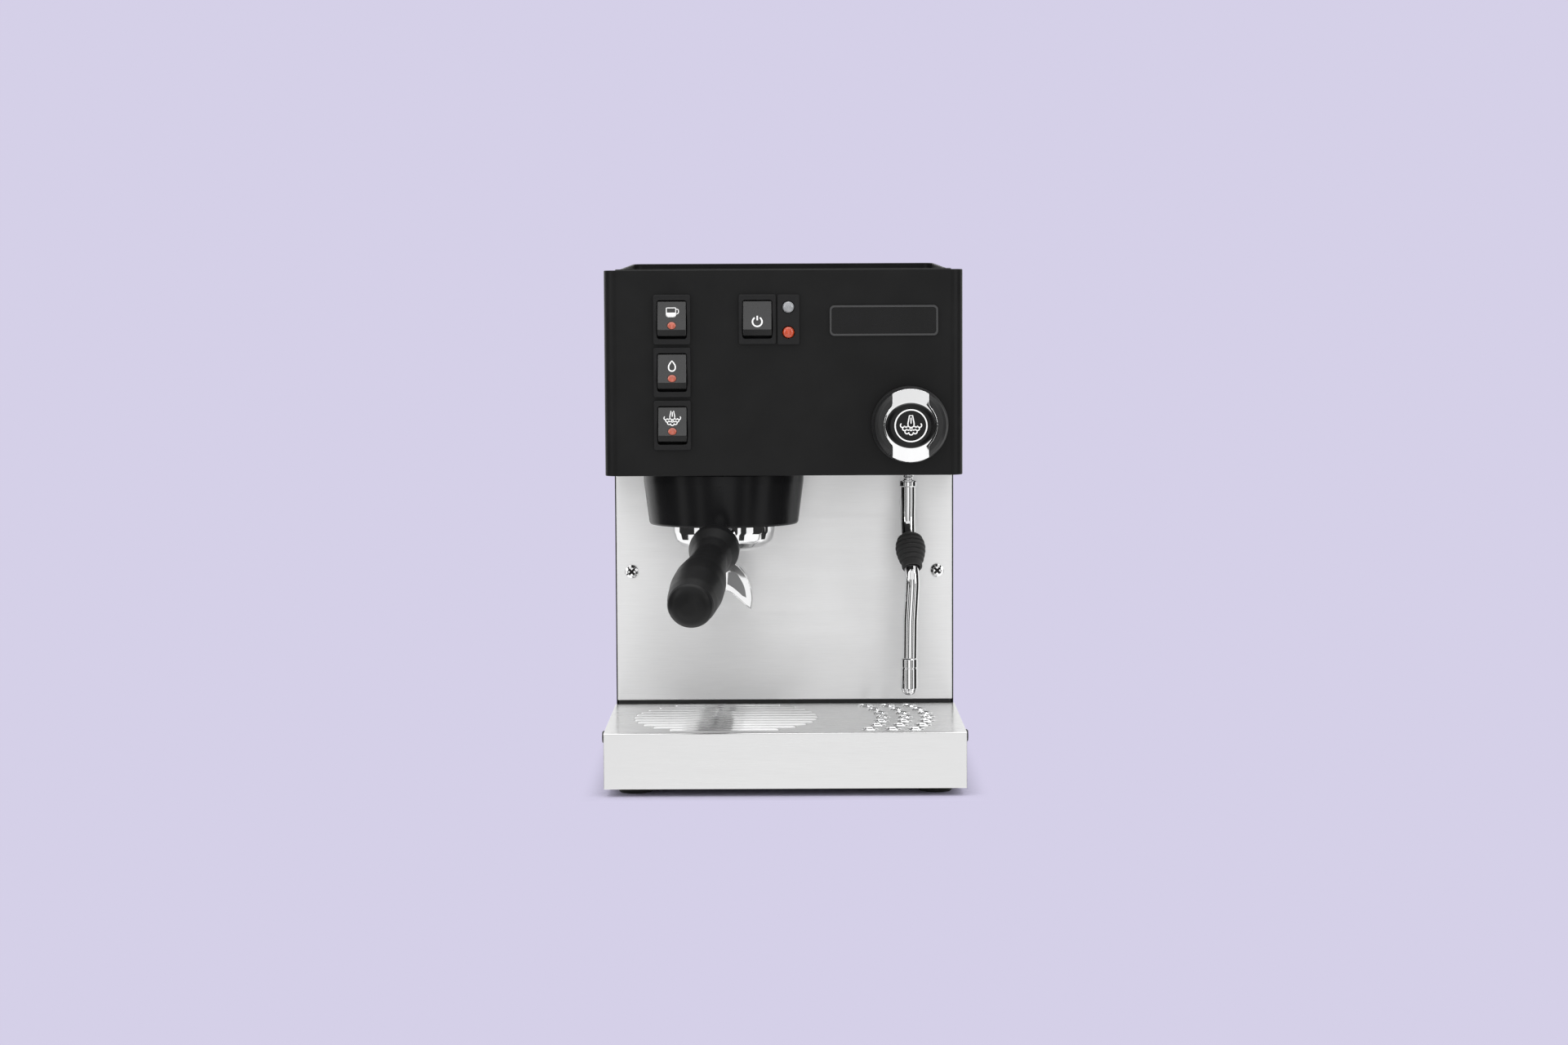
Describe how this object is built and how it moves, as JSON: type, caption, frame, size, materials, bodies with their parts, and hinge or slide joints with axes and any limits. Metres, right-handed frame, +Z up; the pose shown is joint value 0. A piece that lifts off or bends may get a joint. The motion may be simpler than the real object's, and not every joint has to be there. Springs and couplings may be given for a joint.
{
  "type": "espresso machine",
  "caption": "Boxy home espresso machine: black head on a steel column, brew group with portafilter, jointed steam wand, rocker switches, drip tray, lift-out water tank.",
  "frame": {"origin": "on the ground, at the centre of the footprint of the machine with its portafilter handle", "axes": "+X to the machine's right as seen from the front, +Y from its front to its back, +Z up"},
  "size_m": [0.235, 0.3931, 0.3478],
  "materials": {
    "black_paint": "satin black powder coat",
    "black_plastic": "fine moulded texture",
    "black_bell": "semi-gloss black",
    "rubber": "matte",
    "stainless": "brushed, horizontal grain",
    "chrome": "polished plating",
    "brass": "as cast and machined",
    "copper": "drawn copper tube",
    "zinc_steel": "zinc plated",
    "badge_black": "gloss black, blank",
    "amber_lens": "translucent amber",
    "clear_lens": "translucent clear",
    "smoked_tank": "translucent",
    "white_plastic": "moulded"
  },
  "bodies": {
    "casing": {"chassis_frame": "zinc_steel", "left_side_panel": "black_paint", "right_side_panel": "black_paint", "head_front_panel": "black_paint", "head_bottom_plate": "black_paint", "splash_panel": "stainless", "rear_panel": "black_paint", "cup_tray": "black_paint", "foot_front_left": "rubber", "foot_front_right": "rubber", "foot_rear_left": "rubber", "foot_rear_right": "rubber", "splash_screw_left": "zinc_steel", "splash_screw_right": "zinc_steel", "badge_plate": "badge_black", "brew_switch_housing": "black_plastic", "water_switch_housing": "black_plastic", "steam_switch_housing": "black_plastic", "power_switch_housing": "black_plastic", "lamp_panel": "black_plastic", "ready_lamp_lens": "clear_lens", "power_lamp_lens": "amber_lens", "steam_valve_body": "brass", "steam_pipe": "copper", "wand_nut": "chrome", "group_head": "chrome", "group_gasket": "rubber", "shower_screen": "stainless", "group_bell": "black_bell", "boiler": "brass", "boiler_thermostat": "zinc_steel", "solenoid_valve": "black_plastic", "water_pump": "zinc_steel", "water_hose": "rubber", "power_inlet": "black_plastic", "tank_seat": "white_plastic"},
    "brew_switch": {"brew_rocker": "black_plastic", "brew_rocker_lamp": "amber_lens"},
    "water_switch": {"water_rocker": "black_plastic", "water_rocker_lamp": "amber_lens"},
    "steam_switch": {"steam_rocker": "black_plastic", "steam_rocker_lamp": "amber_lens"},
    "power_switch": {"power_rocker": "black_plastic"},
    "steam_knob": {"knob_grip": "black_plastic", "knob_band": "chrome", "knob_cap": "black_plastic", "valve_stem": "brass"},
    "wand_seat": {"wand_seat_ring": "white_plastic"},
    "wand": {"wand_tube": "chrome", "wand_grip": "rubber", "wand_nozzle": "chrome"},
    "portafilter": {"portafilter_body": "chrome", "filter_basket": "stainless", "portafilter_spout": "chrome", "portafilter_handle": "black_plastic", "handle_cap": "black_plastic"},
    "tray": {"drip_pan": "stainless"},
    "cover": {"drip_cover": "stainless"},
    "tank": {"water_tank": "smoked_tank"},
    "lid": {"tank_lid": "black_plastic"}
  },
  "joints": [
    {"name": "brew_rocker_press", "type": "hinge", "parent": "casing", "child": "brew_switch", "pos_m": [-0.0725, -0.0565, 0.308], "axis": [1, 0, 0], "range_deg": [0, 19]},
    {"name": "water_rocker_press", "type": "hinge", "parent": "casing", "child": "water_switch", "pos_m": [-0.0725, -0.0565, 0.2737], "axis": [1, 0, 0], "range_deg": [0, 19]},
    {"name": "steam_rocker_press", "type": "hinge", "parent": "casing", "child": "steam_switch", "pos_m": [-0.0725, -0.0565, 0.2393], "axis": [1, 0, 0], "range_deg": [0, 19]},
    {"name": "power_rocker_press", "type": "hinge", "parent": "casing", "child": "power_switch", "pos_m": [-0.0169, -0.0565, 0.308], "axis": [1, 0, 0], "range_deg": [0, 19]},
    {"name": "steam_knob_turn", "type": "hinge", "parent": "casing", "child": "steam_knob", "pos_m": [0.0818, -0.0641, 0.2394], "axis": [0, -1, 0], "range_deg": [0, 540]},
    {"name": "wand_swivel", "type": "hinge", "parent": "casing", "child": "wand_seat", "pos_m": [0.0838, 0.0065, 0.207], "axis": [0, 0, 1], "range_deg": [-30, 60]},
    {"name": "wand_tilt", "type": "hinge", "parent": "wand_seat", "child": "wand", "pos_m": [0.0838, 0.0065, 0.207], "axis": [-1, 0, 0], "range_deg": [-8, 33]},
    {"name": "portafilter_turn", "type": "hinge", "parent": "casing", "child": "portafilter", "pos_m": [-0.0405, -0.005, 0.1844], "axis": [0, 0, 1], "range_deg": [-40, 8]},
    {"name": "drip_tray_slide", "type": "slide", "parent": "casing", "child": "tray", "axis": [0, -1, 0], "range_m": [0, 0.15]},
    {"name": "drip_cover_lift", "type": "slide", "parent": "tray", "child": "cover", "axis": [0, 0, 1], "range_m": [0, 0.012]},
    {"name": "water_tank_lift", "type": "slide", "parent": "casing", "child": "tank", "axis": [0, 0, 1], "range_m": [0, 0.3]},
    {"name": "tank_lid_lift", "type": "slide", "parent": "tank", "child": "lid", "axis": [0, 0, 1], "range_m": [0, 0.06]}
  ]
}
